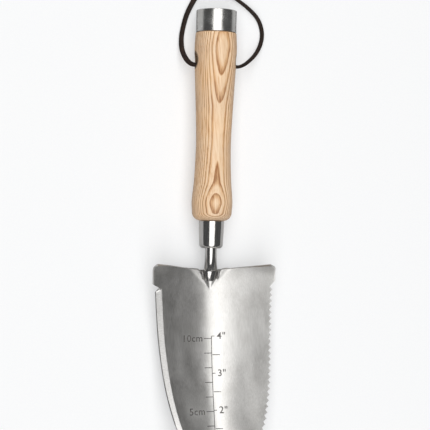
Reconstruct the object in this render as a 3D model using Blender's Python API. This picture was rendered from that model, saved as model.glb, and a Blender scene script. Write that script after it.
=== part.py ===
"""Hand trowel: stainless scoop blade on a cranked tang, ferrule, ash grip, steel end cap, leather lace.

Metres, +Z up. The tool lies on a table, hollow side up, with its tip towards -Y and its end cap
towards +Y. The origin is under the middle of the tool, on the table. Stations along the tool are
measured from the blade's tip, and the whole assembly is moved to the origin at the end.
"""

import math

import bmesh
import bpy
from mathutils import Matrix, Vector
from mathutils.geometry import interpolate_bezier

# Room between touching pieces, and under the foot, where the blade curves two ways
GAP = 0.0003
FOOT_ROOM = 0.0005

# Blade: plan outline
BLADE_LENGTH = 0.1434
TIP_HALF_WIDTH = 0.0026
OUTLINE = (  # station from the tip, half width
    (0.005, 0.0102),
    (0.015, 0.0183),
    (0.0375, 0.0284),
    (0.062, 0.0341),
    (0.092, 0.0371),
)
BODY_HALF_WIDTH = 0.0388
TOOTHED_SIDE_WIDER = 0.0018
LEFT_SHOULDER_SWEEP = 0.0048
RIGHT_SHOULDER_SWEEP = 0.0010
SHOULDER_ZONE = 0.016
TAB_WIDTH = 0.0016
TAB_STEP = 0.0025
CORNER_ROUND = 0.0030

# Blade: section and side profile of the hollow face
SHEET = 0.0016
WALL_SLOPE = 0.45
FOLD_AT_TIP = 0.007
FOLD_AT_TOP = 0.016
SIDE_PROFILE = (  # station from the tip, height of the hollow face above its lowest point
    (0.0, 0.0250),
    (0.030, 0.0150),
    (0.060, 0.0058),
    (0.080, 0.0016),
    (0.095, 0.0),
    (0.112, 0.0011),
    (0.130, 0.0047),
    (0.1434, 0.0084),
)
HEEL_LIFT = 0.0018
HEEL_ZONE = 0.009

# Blade: cutting edges
TOOTH_PITCH = 0.0039
TOOTH_DEPTH = 0.0016
TOOTH_COUNT = 27
NOTCH_STATION = 0.1320
NOTCH_DEPTH = 0.0026
GRIND_WIDTH = 0.0042
GRIND_DEPTH = 0.0010

# Blade: pressed seat, a flat triangle across the fold with a groove for the foot of the tang
SEAT_LENGTH = 0.0135
SEAT_HALF_WIDTH = 0.0130
GROOVE_HALF_WIDTH = 0.0078
GROOVE_DEPTH = 0.0031

# Handle
NECK_SHOWING = 0.0149
HANDLE_HEIGHT = 0.0169
CAP_LENGTH = 0.0150
CAP_RADIUS = 0.0137
CAP_FACE_THICKNESS = 0.0040
CAP_WALL = 0.0015
CAP_EDGE_ROUND = 0.0006
GRIP_LENGTH = 0.1273
GRIP_TOP_ROUND = 0.0010
GRIP_BULGE_RADIUS = 0.01435
GRIP_BULGE_STATION = 0.012
GRIP_WAIST_RADIUS = 0.0118
GRIP_WAIST_STATION = 0.076
GRIP_SWELL_RADIUS = 0.0138
GRIP_SWELL_STATION = 0.1145
GRIP_END_ROUND = 0.0055
FERRULE_LENGTH = 0.0187
FERRULE_RADIUS = 0.0086
FERRULE_END_RADIUS = 0.0080
FERRULE_ROUND = 0.0026
FERRULE_WALL = 0.0008

# Tang; its neck sets the blade a little off the handle's axis, to the right towards the tip
BLADE_SET = math.radians(4.1)
NECK_RADIUS = 0.0039
TANG_DEPTH = 0.058
TANG_TAIL_RADIUS = 0.0022
FOOT_LENGTH = 0.0070
FOOT_HALF_WIDTH = 0.0046
FOOT_HALF_HEIGHT = 0.0025
FOOT_TOE_HALF_WIDTH = 0.0033
FOOT_TOE_HALF_HEIGHT = 0.0014
WELD_RADIUS = 0.0009

# Resin that holds the tang and the end cap
RESIN = 0.0006

# Lace and its hole
LACE_HOLE_RADIUS = 0.0052
LACE_HOLE_FLARE = 0.0012
LACE_HOLE_FROM_CAP = 0.0340
LACE_DIAMETER = 0.0034
LACE_LEFT = (  # x, distance beyond the hole towards the cap, height above the table
    (-0.0135, -0.0032, 0.0137),
    (-0.0172, -0.0018, 0.0112),
    (-0.0200, 0.0025, 0.0075),
    (-0.0217, 0.0085, 0.0040),
    (-0.0219, 0.0160, 0.0021),
    (-0.0208, 0.0235, 0.0017),
    (-0.0184, 0.0325, 0.0017),
    (-0.0142, 0.0415, 0.0017),
    (-0.0095, 0.0495, 0.0019),
    (-0.0060, 0.0545, 0.0028),
)
LACE_RIGHT = (
    (0.0135, -0.0034, 0.0137),
    (0.0188, -0.0024, 0.0110),
    (0.0248, 0.0018, 0.0072),
    (0.0303, 0.0080, 0.0038),
    (0.0337, 0.0160, 0.0020),
    (0.0338, 0.0235, 0.0017),
    (0.0306, 0.0315, 0.0017),
    (0.0236, 0.0385, 0.0017),
    (0.0143, 0.0450, 0.0017),
    (0.0062, 0.0505, 0.0019),
    (0.0010, 0.0545, 0.0028),
)
KNOT_PLACE = (-0.0025, 0.0592)
KNOT_HALF_SIZE = (0.0052, 0.0043, 0.0036)
TAIL_LENGTH = 0.020
TAIL_SPREAD = 0.0050

# Worked out from the sizes above
MOUTH_STATION = BLADE_LENGTH + NECK_SHOWING
HANDLE_LENGTH = FERRULE_LENGTH + GRIP_LENGTH + CAP_LENGTH
HANDLE_TILT = math.asin(HANDLE_HEIGHT / math.hypot(HANDLE_LENGTH, CAP_RADIUS)) - math.atan2(
    CAP_RADIUS, HANDLE_LENGTH
)
SPIGOT_RADIUS = FERRULE_END_RADIUS - FERRULE_WALL - GAP
SPIGOT_LENGTH = FERRULE_LENGTH - FERRULE_ROUND - GAP
CAP_BORE_RADIUS = CAP_RADIUS - CAP_WALL
CAP_SPIGOT_RADIUS = CAP_BORE_RADIUS - RESIN - 2 * GAP
CAP_BORE_DEPTH = CAP_LENGTH - CAP_FACE_THICKNESS
TANG_BORE_RADIUS = NECK_RADIUS + RESIN + 2 * GAP


def material(name, colour, roughness, metallic):
    """A plain Principled BSDF material."""
    mat = bpy.data.materials.new(name)
    mat.use_nodes = True
    shader = mat.node_tree.nodes["Principled BSDF"]
    shader.inputs["Base Color"].default_value = (*colour, 1.0)
    shader.inputs["Roughness"].default_value = roughness
    shader.inputs["Metallic"].default_value = metallic
    return mat


def object_from(bm, name, mat, sharp_angle=35.0):
    """An object made from a bmesh, shaded smooth with sharp creases."""
    mesh = bpy.data.meshes.new(name)
    bm.to_mesh(mesh)
    bm.free()
    mesh.shade_smooth()
    mesh.set_sharp_from_angle(angle=math.radians(sharp_angle))
    mesh.materials.append(mat)
    obj = bpy.data.objects.new(name, mesh)
    bpy.context.scene.collection.objects.link(obj)
    return obj


def through(points, place):
    """The value at a place on a smooth curve through points of (place, value)."""
    last = len(points) - 1
    i = max(0, min(last - 1, sum(place >= p[0] for p in points) - 1))
    (x0, y0), (x1, y1) = points[i], points[i + 1]

    def slope(k):
        a, b = points[max(0, k - 1)], points[min(last, k + 1)]
        return (b[1] - a[1]) / (b[0] - a[0])

    span = x1 - x0
    t = (place - x0) / span
    return (
        (2 * t**3 - 3 * t**2 + 1) * y0
        + (t**3 - 2 * t**2 + t) * span * slope(i)
        + (3 * t**2 - 2 * t**3) * y1
        + (t**3 - t**2) * span * slope(i + 1)
    )


def ease(t):
    """A smooth step from 0 to 1."""
    t = max(0.0, min(1.0, t))
    return t * t * (3 - 2 * t)


def turned(profile, steps):
    """A closed (radius, station) profile turned about the Y axis; stations run along +Y."""
    bm = bmesh.new()
    verts = [bm.verts.new((radius, station, 0.0)) for radius, station in profile]
    edges = [bm.edges.new((a, b)) for a, b in zip(verts, verts[1:])]
    if profile[0][0] > 0.0:
        edges.append(bm.edges.new((verts[-1], verts[0])))
    bmesh.ops.spin(
        bm,
        geom=verts + edges,
        cent=(0.0, 0.0, 0.0),
        axis=(0.0, 1.0, 0.0),
        angle=math.tau,
        steps=steps,
        use_merge=True,
    )
    bmesh.ops.remove_doubles(bm, verts=bm.verts, dist=1e-6)
    bmesh.ops.recalc_face_normals(bm, faces=bm.faces)
    return bm


def arc(centre, radius, start, end, steps):
    """Points of an arc in the (radius, station) plane, angles in degrees."""
    angles = [math.radians(start + (end - start) * i / steps) for i in range(steps + 1)]
    return [(centre[0] + radius * math.cos(a), centre[1] + radius * math.sin(a)) for a in angles]


def skinned(rings):
    """A closed body through rings of equally many points, capped at both ends."""
    bm = bmesh.new()
    loops = []
    for ring in rings:
        verts = [bm.verts.new(point) for point in ring]
        loops.append([bm.edges.new((verts[i - 1], verts[i])) for i in range(len(verts))])
    bmesh.ops.contextual_create(bm, geom=loops[0])
    bmesh.ops.contextual_create(bm, geom=loops[-1])
    for a, b in zip(loops, loops[1:]):
        bmesh.ops.bridge_loops(bm, edges=a + b)
    bmesh.ops.recalc_face_normals(bm, faces=bm.faces)
    return bm


def half_width(station):
    """Half width of the blade at a station, without its tabs and teeth."""
    points = ((0.0, TIP_HALF_WIDTH), *OUTLINE, (NOTCH_STATION, BODY_HALF_WIDTH))
    return through(points, min(station, NOTCH_STATION))


def hollow_height(x, station):
    """Height of the blade's hollow face above the table."""
    along = min(station, BLADE_LENGTH)
    fold = FOLD_AT_TIP + (FOLD_AT_TOP - FOLD_AT_TIP) * along / BLADE_LENGTH
    out = max(abs(x), SEAT_HALF_WIDTH * seat_share(station))
    section = WALL_SLOPE * (math.hypot(out, fold) - fold)
    past = station - along
    end_slope = (SIDE_PROFILE[-1][1] - SIDE_PROFILE[-2][1]) / (
        SIDE_PROFILE[-1][0] - SIDE_PROFILE[-2][0]
    )
    floor = through(SIDE_PROFILE, along) + end_slope * past
    return SHEET + floor + section - groove_drop(x, station)


def seat_share(station):
    """How far into the pressed seat a station lies: 0 at its point, 1 at the blade's top edge."""
    return max(0.0, (station - (BLADE_LENGTH - SEAT_LENGTH)) / SEAT_LENGTH)


def groove_drop(x, station):
    """How deep the groove for the foot is below the seat's flat."""
    share = seat_share(station)
    if share == 0.0:
        return 0.0
    across = abs(x) / (GROOVE_HALF_WIDTH * share)
    return GROOVE_DEPTH * share * max(0.0, 1.0 - across * across)


def blade_rows():
    """Stations of the blade's rows; between the tip and the tabs there are two for each tooth."""
    teeth_end = NOTCH_STATION
    teeth_start = teeth_end - TOOTH_COUNT * TOOTH_PITCH
    tip_rows = 8
    rows = [teeth_start * (i / tip_rows) ** 1.4 for i in range(tip_rows)]
    rows += [teeth_start + i * TOOTH_PITCH / 2 for i in range(2 * TOOTH_COUNT + 1)]
    top_rows = 6
    rows += [teeth_end + (BLADE_LENGTH - teeth_end) * (i + 1) / top_rows for i in range(top_rows)]
    return rows


def build_blade(mat):
    """The dished blade: toothed right edge, ground left edge with a twine notch, pressed seat."""
    rows = blade_rows()
    toothed = range(8, 8 + 2 * TOOTH_COUNT)
    notch_row = 8 + 2 * TOOTH_COUNT
    inner = 1.0 - GRIND_WIDTH / BODY_HALF_WIDTH
    shares = (0.0, 0.055, 0.11, 0.165, 0.22, 0.34, 0.50, 0.68, inner, 1.0)
    columns = [-s for s in reversed(shares[1:])] + list(shares)
    bm = bmesh.new()
    bmesh.ops.create_grid(
        bm, x_segments=len(columns) - 1, y_segments=len(rows) - 1, size=0.5
    )
    bm.verts.ensure_lookup_table()
    thickness = bm.verts.layers.deform.verify()
    for i, vert in enumerate(bm.verts):
        row, column = divmod(i, len(columns))
        share, station = columns[column], rows[row]
        x = share * half_width(station)
        on_left, on_right = column == 0, column == len(columns) - 1
        past_notch = ease((station - NOTCH_STATION) / TAB_STEP)
        x += share * TAB_WIDTH * past_notch
        x += max(0.0, share) * TOOTHED_SIDE_WIDER
        if on_right and row in toothed and row % 2 == 1:
            x -= TOOTH_DEPTH
        if on_left and row == notch_row:
            x += NOTCH_DEPTH
        near_top = ease((station - BLADE_LENGTH + SHOULDER_ZONE) / SHOULDER_ZONE)
        shoulder = LEFT_SHOULDER_SWEEP if share < 0.0 else RIGHT_SHOULDER_SWEEP
        sweep = shoulder * near_top * 0.5 * (1.0 - math.cos(math.pi * share))
        if row == len(rows) - 1 and abs(share) == 1.0:
            x -= math.copysign(CORNER_ROUND * 0.7, share)
        elif row == len(rows) - 2 and abs(share) == 1.0:
            sweep -= CORNER_ROUND * 0.3
        height = hollow_height(x, station + sweep)
        height += HEEL_LIFT * share**2 * ease((station - BLADE_LENGTH + HEEL_ZONE) / HEEL_ZONE) ** 2
        ground = on_left and station < NOTCH_STATION
        if ground:
            height -= GRIND_DEPTH
        vert.co = (x, station + sweep, height)
        vert[thickness][0] = 1.0 - GRIND_DEPTH / SHEET if ground else 1.0
    blade = object_from(bm, "blade", mat)
    blade.vertex_groups.new(name="sheet_thickness")
    solid = blade.modifiers.new("sheet", "SOLIDIFY")
    solid.thickness = SHEET
    solid.offset = -1.0
    solid.vertex_group = "sheet_thickness"
    solid.use_even_offset = False
    return blade


def handle_axis(distance):
    """A point on the handle's axis, that far from the ferrule's mouth towards the cap."""
    return Vector(
        (
            0.0,
            MOUTH_STATION + distance * math.cos(HANDLE_TILT),
            HANDLE_HEIGHT - distance * math.sin(HANDLE_TILT),
        )
    )


def oval(centre, direction, half_x, half_up, sides=20):
    """Points of an oval ring that faces a direction in the YZ plane."""
    up = Vector((0.0, -direction.z, direction.y)).normalized()
    turns = [math.tau * i / sides for i in range(sides)]
    return [
        centre + Vector((half_x * math.cos(a), 0.0, 0.0)) + up * (half_up * math.sin(a))
        for a in turns
    ]


def resting_height(station, half_x, half_up):
    """Height of an oval's centre when the oval lies clear of the hollow face."""
    places = [half_x * i / 12 for i in range(12)]
    return FOOT_ROOM + max(
        hollow_height(x, station) + half_up * math.sqrt(1.0 - (x / half_x) ** 2) for x in places
    )


def foot_sections():
    """Centres and half sizes of the foot's sections, from the top edge of the blade to its toe."""
    sections = []
    steps = 4
    for i in range(steps + 1):
        share = i / steps
        station = BLADE_LENGTH - FOOT_LENGTH * share
        bend = 1.0 - share**1.6
        half_x = FOOT_TOE_HALF_WIDTH + (FOOT_HALF_WIDTH - FOOT_TOE_HALF_WIDTH) * bend
        half_up = FOOT_TOE_HALF_HEIGHT + (FOOT_HALF_HEIGHT - FOOT_TOE_HALF_HEIGHT) * bend
        height = resting_height(station, half_x, half_up)
        sections.append((Vector((0.0, station, height)), half_x, half_up))
    return sections


def set_over(point, station):
    """A point of the tang turned with the blade's set, which grows along the neck."""
    share = ease((MOUTH_STATION - station) / NECK_SHOWING)
    pivot = Vector((0.0, MOUTH_STATION, 0.0))
    return Matrix.Rotation(BLADE_SET * share, 3, "Z") @ (point - pivot) + pivot


def build_tang(mat):
    """The forged tang: a tail in the grip, a round cranked neck and a flared foot on the blade."""
    sunk = FERRULE_LENGTH + TANG_DEPTH
    sections = [
        (handle_axis(sunk), TANG_TAIL_RADIUS, TANG_TAIL_RADIUS),
        (handle_axis(sunk - 0.004), TANG_TAIL_RADIUS + 0.0006, TANG_TAIL_RADIUS + 0.0006),
        (handle_axis(FERRULE_LENGTH), NECK_RADIUS, NECK_RADIUS),
        (handle_axis(0.002), NECK_RADIUS, NECK_RADIUS),
    ]
    foot = foot_sections()
    start, end = handle_axis(-0.001), foot[0][0]
    reach = (start.y - end.y) * 0.45
    curve = interpolate_bezier(
        start, start - Vector((0.0, reach, 0.0)), end + Vector((0.0, reach, reach * 0.55)), end, 7
    )
    for i, point in enumerate(curve[:-1]):
        flare = (i / 6) ** 3
        half_x = NECK_RADIUS + (FOOT_HALF_WIDTH - NECK_RADIUS) * flare
        half_up = NECK_RADIUS + (FOOT_HALF_HEIGHT - NECK_RADIUS) * flare
        sections.append((point, half_x, half_up))
    sections += foot
    rings = []
    for i, (centre, half_x, half_up) in enumerate(sections):
        before, after = sections[max(0, i - 1)][0], sections[min(len(sections) - 1, i + 1)][0]
        ring = oval(centre, (before - after).normalized(), half_x, half_up)
        rings.append([set_over(point, centre.y) for point in ring])
    return object_from(skinned(rings), "tang", mat)


def build_weld(name, side, mat):
    """A weld bead along one side of the foot, lying on the blade."""
    rings = []
    foot = foot_sections()
    for i, (centre, half_x, _) in enumerate(foot[:-1]):
        radius = WELD_RADIUS * (0.8 if i == 0 else 1.0)
        x = half_x + GAP + radius
        station = centre.y - 0.0004
        uphill = hollow_height(x + radius, station) - hollow_height(x - radius, station)
        clear = math.hypot(1.0, uphill / (2 * radius))
        height = hollow_height(x, station) + (GAP + radius) * clear + abs(uphill) * 0.25
        middle = Vector((side * x, station, height))
        rings.append(oval(middle, Vector((0.0, 1.0, 0.25)).normalized(), radius, radius, 10))
    return object_from(skinned(rings), name, mat)


def build_ferrule(mat):
    """The ferrule: a thin drawn cup, its round bottom bored for the neck."""
    bore = NECK_RADIUS + GAP
    centre = (FERRULE_END_RADIUS - FERRULE_ROUND, FERRULE_ROUND)
    inner_round = FERRULE_ROUND - FERRULE_WALL
    profile = [(bore, 0.0)]
    profile += arc(centre, FERRULE_ROUND, -90.0, 0.0, 6)
    profile += [(FERRULE_RADIUS, FERRULE_LENGTH - GAP)]
    profile += [(FERRULE_RADIUS - FERRULE_WALL, FERRULE_LENGTH - GAP)]
    profile += arc(centre, inner_round, 0.0, -90.0, 4)
    profile += [(bore, FERRULE_WALL)]
    return object_from(turned(profile, 40), "ferrule", mat)


def grip_profile():
    """The grip's outline from its spigot in the ferrule to its spigot in the cap."""
    low, top = FERRULE_LENGTH, FERRULE_LENGTH + GRIP_LENGTH
    swell_y = top - GRIP_SWELL_STATION
    end_centre = (GRIP_SWELL_RADIUS - GRIP_END_ROUND - 0.0004, low + GRIP_END_ROUND)
    curve = (
        (end_centre[1], end_centre[0] + GRIP_END_ROUND),
        (swell_y, GRIP_SWELL_RADIUS),
        (top - 0.100, GRIP_WAIST_RADIUS + 0.00075),
        (top - GRIP_WAIST_STATION, GRIP_WAIST_RADIUS),
        (top - 0.056, GRIP_WAIST_RADIUS + 0.0006),
        (top - 0.036, GRIP_BULGE_RADIUS - 0.0010),
        (top - GRIP_BULGE_STATION, GRIP_BULGE_RADIUS),
        (top - GRIP_TOP_ROUND, CAP_RADIUS + 0.0002),
    )
    profile = [(TANG_BORE_RADIUS, low - SPIGOT_LENGTH), (SPIGOT_RADIUS, low - SPIGOT_LENGTH)]
    profile += [(SPIGOT_RADIUS, low)]
    profile += arc(end_centre, GRIP_END_ROUND, -90.0, 0.0, 6)
    steps = 22
    first, last = curve[0][0], curve[-1][0]
    for i in range(1, steps + 1):
        station = first + (last - first) * i / steps
        profile.append((through(curve, station), station))
    profile += [(CAP_RADIUS - 0.0004, top - GAP), (CAP_SPIGOT_RADIUS, top - GAP)]
    profile += [(CAP_SPIGOT_RADIUS, top + CAP_BORE_DEPTH - RESIN - 2 * GAP)]
    profile += [(0.0, top + CAP_BORE_DEPTH - RESIN - 2 * GAP)]
    bore_end = low + TANG_DEPTH + RESIN + 2 * GAP
    return [(0.0, bore_end), (TANG_BORE_RADIUS, bore_end)] + profile


def lace_hole_cutter():
    """The hole across the grip, flared at both mouths."""
    flare = LACE_HOLE_RADIUS + LACE_HOLE_FLARE
    mouth = GRIP_BULGE_RADIUS + 0.0005
    profile = [
        (0.0, -mouth),
        (flare, -mouth),
        (LACE_HOLE_RADIUS + 0.0004, LACE_HOLE_FLARE - mouth + 0.0012),
        (LACE_HOLE_RADIUS, 2 * LACE_HOLE_FLARE - mouth + 0.0012),
        (LACE_HOLE_RADIUS, mouth - 2 * LACE_HOLE_FLARE - 0.0012),
        (LACE_HOLE_RADIUS + 0.0004, mouth - LACE_HOLE_FLARE - 0.0012),
        (flare, mouth),
        (0.0, mouth),
    ]
    bm = turned(profile, 24)
    bmesh.ops.rotate(bm, verts=bm.verts, matrix=Matrix.Rotation(math.radians(90.0), 3, "Z"))
    station = HANDLE_LENGTH - LACE_HOLE_FROM_CAP
    bmesh.ops.translate(bm, verts=bm.verts, vec=(0.0, station, 0.0))
    cutter = object_from(bm, "lace_hole_cutter", material("cutter", (1.0, 0.2, 0.1), 0.5, 0.0))
    cutter.hide_render = True
    cutter.display_type = "WIRE"
    return cutter


def build_grip(mat):
    """The turned ash grip with its bore for the tang and its hole for the lace."""
    grip = object_from(turned(grip_profile(), 40), "grip", mat)
    cutter = lace_hole_cutter()
    cut = grip.modifiers.new("lace_hole", "BOOLEAN")
    cut.operation = "DIFFERENCE"
    cut.solver = "EXACT"
    cut.object = cutter
    return grip, cutter


def build_end_cap(mat):
    """The steel cap that closes the grip: a thick face to tap with, on a short skirt."""
    top, low = HANDLE_LENGTH, HANDLE_LENGTH - CAP_LENGTH
    centre = (CAP_RADIUS - CAP_EDGE_ROUND, top - CAP_EDGE_ROUND)
    profile = [(0.0, top - CAP_FACE_THICKNESS), (CAP_BORE_RADIUS, top - CAP_FACE_THICKNESS)]
    profile += [(CAP_BORE_RADIUS, low), (CAP_RADIUS, low)]
    profile += arc(centre, CAP_EDGE_ROUND, 0.0, 90.0, 3)
    profile += [(0.0, top)]
    return object_from(turned(profile, 48), "end_cap", mat)


def build_tang_resin(mat):
    """The sleeve of resin round the tail of the tang, in the grip's bore."""
    inner, outer = NECK_RADIUS + GAP, NECK_RADIUS + GAP + RESIN
    low = FERRULE_LENGTH - SPIGOT_LENGTH + GAP
    top = FERRULE_LENGTH + TANG_DEPTH + GAP
    profile = [(0.0, top), (inner, top), (inner, low), (outer, low), (outer, top + RESIN)]
    profile += [(0.0, top + RESIN)]
    return object_from(turned(profile, 24), "tang_resin", mat)


def build_cap_resin(mat):
    """The cup of resin between the end cap and the grip's spigot."""
    inner = CAP_SPIGOT_RADIUS + GAP
    outer = CAP_BORE_RADIUS - GAP
    low = HANDLE_LENGTH - CAP_LENGTH + GAP
    top = HANDLE_LENGTH - CAP_FACE_THICKNESS - GAP
    profile = [(0.0, top - RESIN), (inner, top - RESIN), (inner, low), (outer, low), (outer, top)]
    profile += [(0.0, top)]
    return object_from(turned(profile, 40), "cap_resin", mat)


def smooth_route(points, spacing):
    """Evenly close points of a smooth curve through a route's points."""
    route = [Vector(p) for p in points]
    result = [route[0]]
    for i in range(len(route) - 1):
        before = route[i - 1] if i else route[0]
        after = route[i + 2] if i + 2 < len(route) else route[-1]
        a, b = route[i], route[i + 1]
        steps = max(1, round((b - a).length / spacing))
        curve = interpolate_bezier(a, a + (b - before) / 6, b - (after - a) / 6, b, steps + 1)
        result += curve[1:]
    return result


def cord(name, points, mat):
    """A round cord along points, closed at both ends."""
    data = bpy.data.curves.new(name, "CURVE")
    data.dimensions = "3D"
    data.bevel_depth = LACE_DIAMETER / 2
    data.bevel_resolution = 2
    data.use_fill_caps = True
    spline = data.splines.new("POLY")
    spline.points.add(len(points) - 1)
    for target, point in zip(spline.points, points):
        target.co = (*point, 1.0)
    data.materials.append(mat)
    obj = bpy.data.objects.new(name, data)
    bpy.context.scene.collection.objects.link(obj)
    return obj


def lace_hole_centre():
    """The middle of the hole across the grip."""
    return handle_axis(HANDLE_LENGTH - LACE_HOLE_FROM_CAP)


def build_lace(mat):
    """The lace in its hole, both strands to the knot, the knot and its two tails."""
    hole = lace_hole_centre()

    def laid(points):
        return [(x, hole.y + beyond, height) for x, beyond, height in points]

    inside = [(-0.006, hole.y, hole.z), (0.006, hole.y, hole.z)]
    route = list(reversed(laid(LACE_LEFT))) + inside + laid(LACE_RIGHT)
    spacing = 2.2 * LACE_DIAMETER
    lace = cord("lace", smooth_route(route, spacing), mat)
    place = Vector((KNOT_PLACE[0], hole.y + KNOT_PLACE[1], KNOT_HALF_SIZE[2]))
    bm = bmesh.new()
    bmesh.ops.create_uvsphere(bm, u_segments=16, v_segments=10, radius=1.0)
    bmesh.ops.scale(bm, verts=bm.verts, vec=KNOT_HALF_SIZE)
    bmesh.ops.translate(bm, verts=bm.verts, vec=place)
    knot = object_from(bm, "lace_knot", mat)
    tails = []
    for name, side in (("lace_tail_left", -1.0), ("lace_tail_right", 1.0)):
        start = place + Vector((side * 0.0021, KNOT_HALF_SIZE[1] + 0.0006, -0.0012))
        low = LACE_DIAMETER / 2
        end = Vector((start.x + side * TAIL_SPREAD, start.y + TAIL_LENGTH, low))
        half = Vector((start.x + side * TAIL_SPREAD * 0.3, start.y + TAIL_LENGTH * 0.5, low))
        tails.append(cord(name, smooth_route((start, half, end), spacing), mat))
    return [lace, knot, *tails]


def empty(name, location=(0.0, 0.0, 0.0), rotation=(0.0, 0.0, 0.0)):
    """An empty that carries pieces."""
    obj = bpy.data.objects.new(name, None)
    obj.location = location
    obj.rotation_euler = rotation
    bpy.context.scene.collection.objects.link(obj)
    return obj


def carry(parent, pieces, keep_place=False):
    """Parent pieces to an empty; with keep_place they stay where they are in the world."""
    bpy.context.view_layer.update()
    for piece in pieces:
        piece.parent = parent
        if keep_place:
            piece.matrix_parent_inverse = parent.matrix_world.inverted()


def lowest_and_highest(pieces):
    """The corners of the box round the finished pieces."""
    graph = bpy.context.evaluated_depsgraph_get()
    points = []
    for piece in pieces:
        evaluated = piece.evaluated_get(graph)
        points += [evaluated.matrix_world @ v.co for v in evaluated.to_mesh().vertices]
    low = Vector([min(p[i] for p in points) for i in range(3)])
    high = Vector([max(p[i] for p in points) for i in range(3)])
    return low, high


def main():
    """Build every piece and stand the tool on the origin."""
    for obj in list(bpy.data.objects):
        bpy.data.objects.remove(obj)
    steel = material("brushed_steel", (0.62, 0.61, 0.59), 0.32, 1.0)
    polished = material("polished_steel", (0.70, 0.69, 0.68), 0.10, 1.0)
    cap_steel = material("turned_steel", (0.64, 0.63, 0.62), 0.26, 1.0)
    weld_steel = material("weld_steel", (0.45, 0.43, 0.41), 0.50, 1.0)
    ash = material("ash", (0.74, 0.49, 0.28), 0.50, 0.0)
    leather = material("leather", (0.035, 0.020, 0.014), 0.55, 0.0)
    resin = material("resin", (0.55, 0.42, 0.20), 0.35, 0.0)

    trowel = empty("trowel_frame")
    blade_pieces = [
        build_blade(steel),
        build_weld("weld_bead_left", -1.0, weld_steel),
        build_weld("weld_bead_right", 1.0, weld_steel),
    ]
    blade_frame = empty("blade_frame", (0.0, MOUTH_STATION, 0.0))
    carry(blade_frame, blade_pieces, keep_place=True)
    blade_frame.rotation_euler = (0.0, 0.0, BLADE_SET)
    tang = build_tang(polished)
    carry(trowel, [blade_frame, tang])

    handle = empty("handle_axis_frame", handle_axis(0.0), (-HANDLE_TILT, 0.0, 0.0))
    grip, cutter = build_grip(ash)
    handle_pieces = [
        grip,
        build_ferrule(polished),
        build_end_cap(cap_steel),
        build_tang_resin(resin),
        build_cap_resin(resin),
    ]
    carry(handle, [*handle_pieces, cutter])
    carry(trowel, [handle])

    swing = empty("lanyard_swing_axis", lace_hole_centre())
    carry(swing, build_lace(leather), keep_place=True)
    carry(trowel, [swing])

    bpy.context.view_layer.update()
    low, high = lowest_and_highest([*blade_pieces, tang, *handle_pieces])
    trowel.location = (-(low.x + high.x) / 2, -(low.y + high.y) / 2, -low.z)


main()
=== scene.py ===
"""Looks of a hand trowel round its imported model: satin blade, ash grip, polished fittings and lace."""

import logging
import math
from collections.abc import Sequence
from dataclasses import dataclass, field
from enum import Enum

import bmesh
import bpy
from mathutils import Matrix, Vector
from mathutils.geometry import interpolate_bezier


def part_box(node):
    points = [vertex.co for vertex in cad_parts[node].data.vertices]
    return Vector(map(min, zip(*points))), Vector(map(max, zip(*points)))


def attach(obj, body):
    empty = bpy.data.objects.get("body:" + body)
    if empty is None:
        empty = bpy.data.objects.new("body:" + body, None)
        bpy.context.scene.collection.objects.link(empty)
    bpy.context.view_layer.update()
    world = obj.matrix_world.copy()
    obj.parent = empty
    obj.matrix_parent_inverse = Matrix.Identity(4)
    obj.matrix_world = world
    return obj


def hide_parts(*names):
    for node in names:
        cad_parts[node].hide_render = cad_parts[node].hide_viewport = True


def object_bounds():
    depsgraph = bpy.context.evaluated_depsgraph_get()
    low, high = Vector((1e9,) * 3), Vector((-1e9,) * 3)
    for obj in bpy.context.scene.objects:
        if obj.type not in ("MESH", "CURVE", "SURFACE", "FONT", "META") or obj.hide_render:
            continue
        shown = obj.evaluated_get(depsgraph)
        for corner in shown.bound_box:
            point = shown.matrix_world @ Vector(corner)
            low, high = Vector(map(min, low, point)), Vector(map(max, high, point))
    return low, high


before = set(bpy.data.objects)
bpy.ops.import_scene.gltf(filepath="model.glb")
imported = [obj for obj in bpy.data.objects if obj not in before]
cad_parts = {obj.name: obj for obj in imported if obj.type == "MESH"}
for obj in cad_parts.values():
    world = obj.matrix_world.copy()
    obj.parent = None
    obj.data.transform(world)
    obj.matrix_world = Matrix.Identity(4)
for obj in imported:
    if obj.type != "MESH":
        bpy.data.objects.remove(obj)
CAD_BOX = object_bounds()

log = logging.getLogger("trowel")

Curve = Sequence[tuple[float, float]]
INCH = 0.0254
CENTIMETRE = 0.01


class Body(str, Enum):
    """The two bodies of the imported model."""

    TROWEL = "trowel"
    LANYARD = "lanyard"


class Slot(str, Enum):
    """Material slots of the record, listed beside the handle's new pieces but not given to them."""

    BLADE = "blade_steel"
    POLISHED = "polished_steel"
    CAP = "cap_steel"
    WELD = "weld"
    WOOD = "ash"
    LEATHER = "leather"


def through(points: Curve, place: float) -> float:
    """Reads a smooth curve.

    Args:
        points: Places and their values, places rising.
        place: Where to read the curve.

    Returns:
        The curve's value at the place.
    """
    last = len(points) - 1
    i = max(0, min(last - 1, sum(place >= p[0] for p in points) - 1))
    (x0, y0), (x1, y1) = points[i], points[i + 1]

    def slope(k: int) -> float:
        """The curve's slope at point k."""
        a, b = points[max(0, k - 1)], points[min(last, k + 1)]
        return (b[1] - a[1]) / (b[0] - a[0])

    span = x1 - x0
    t = (place - x0) / span
    return (
        (2 * t**3 - 3 * t**2 + 1) * y0
        + (t**3 - 2 * t**2 + t) * span * slope(i)
        + (3 * t**2 - 2 * t**3) * y1
        + (t**3 - t**2) * span * slope(i + 1)
    )


def ease(t: float) -> float:
    """A smooth step from 0 to 1."""
    t = max(0.0, min(1.0, t))
    return t * t * (3 - 2 * t)


def spread(start: float, end: float, steps: int) -> list[float]:
    """Evenly spaced numbers from start to end, both included."""
    return [start + (end - start) * i / steps for i in range(steps + 1)]


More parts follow.
